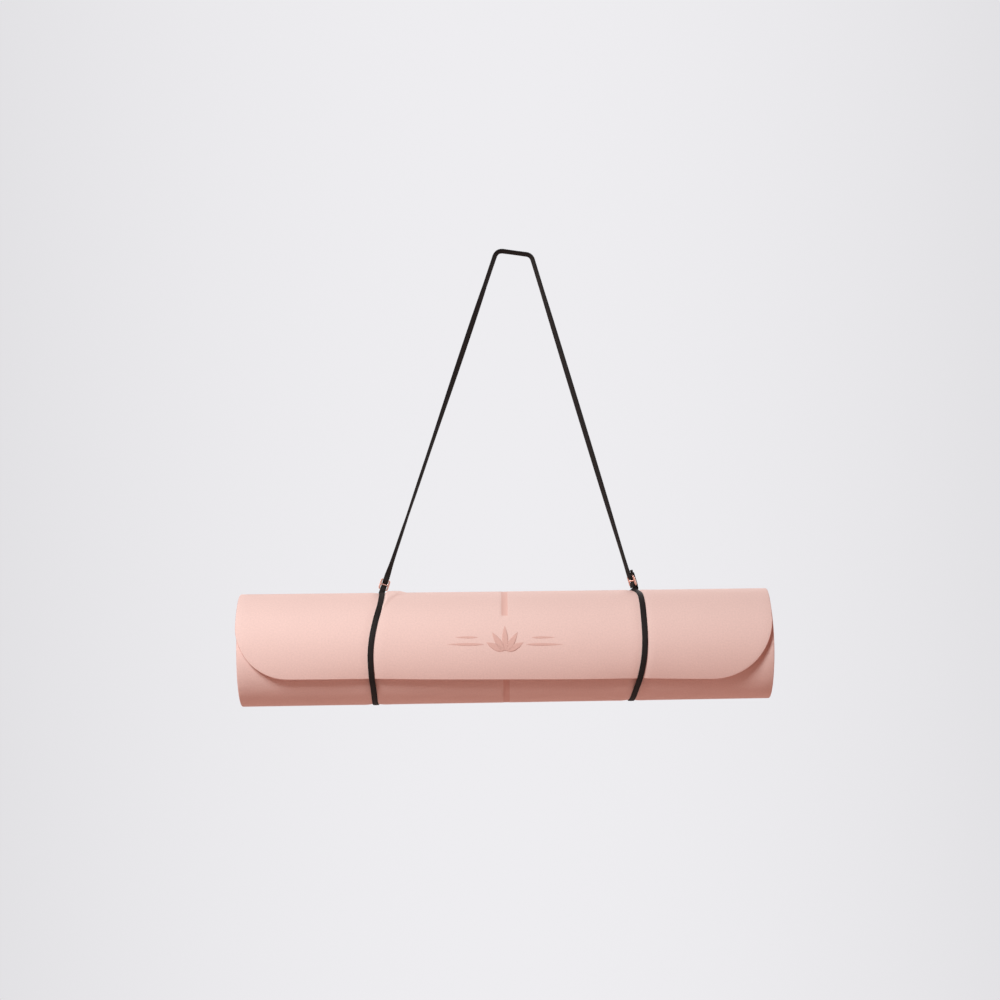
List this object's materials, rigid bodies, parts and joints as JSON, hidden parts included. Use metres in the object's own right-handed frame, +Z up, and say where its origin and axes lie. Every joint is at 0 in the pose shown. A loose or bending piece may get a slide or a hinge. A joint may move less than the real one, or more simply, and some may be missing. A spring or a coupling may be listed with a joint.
{
  "type": "rolled exercise mat in a carry sling",
  "caption": "Soft two-layer exercise mat rolled up crosswise and hung in an adjustable tape sling with a noose and metal slider at each end.",
  "frame": {"origin": "carry point: the middle of the strap's grip, where a hand or a hook holds the sling", "axes": "+X along the rolled mat, +Z up, and the mat's outer flap closes on the -Y side"},
  "size_m": [0.61, 0.1361, 0.526],
  "materials": {
    "mat_top": "matt foamed TPE with a fine moulded grain, pale pink",
    "mat_bottom": "matt foamed TPE, slightly deeper pink",
    "strap": "flat braided black polyester tape",
    "slider_metal": "rose-gold plated, polished"
  },
  "bodies": {
    "sling": {"strap_grip": "strap", "left_upper_span": "strap", "right_upper_span": "strap", "left_lower_span": "strap", "right_lower_span": "strap", "left_noose": "strap", "right_noose": "strap"},
    "left_slider": {"left_slider_frame": "slider_metal", "left_tape_end": "strap"},
    "right_slider": {"right_slider_frame": "slider_metal", "right_tape_end": "strap"},
    "mat": {"mat_top_layer": "mat_top", "mat_bottom_layer": "mat_bottom"}
  },
  "joints": [
    {"name": "left_slider_slide", "type": "slide", "parent": "sling", "child": "left_slider", "axis": [0.332, 0, 0.9433], "range_m": [0, 0.08], "deforming": ["left_lower_span"]},
    {"name": "right_slider_slide", "type": "slide", "parent": "sling", "child": "right_slider", "axis": [-0.2778, 0, 0.9606], "range_m": [0, 0.08], "deforming": ["right_lower_span"]},
    {"name": "mat_slide", "type": "slide", "parent": "sling", "child": "mat", "axis": [1, 0, 0], "range_m": [-0.47, 0.48]}
  ]
}
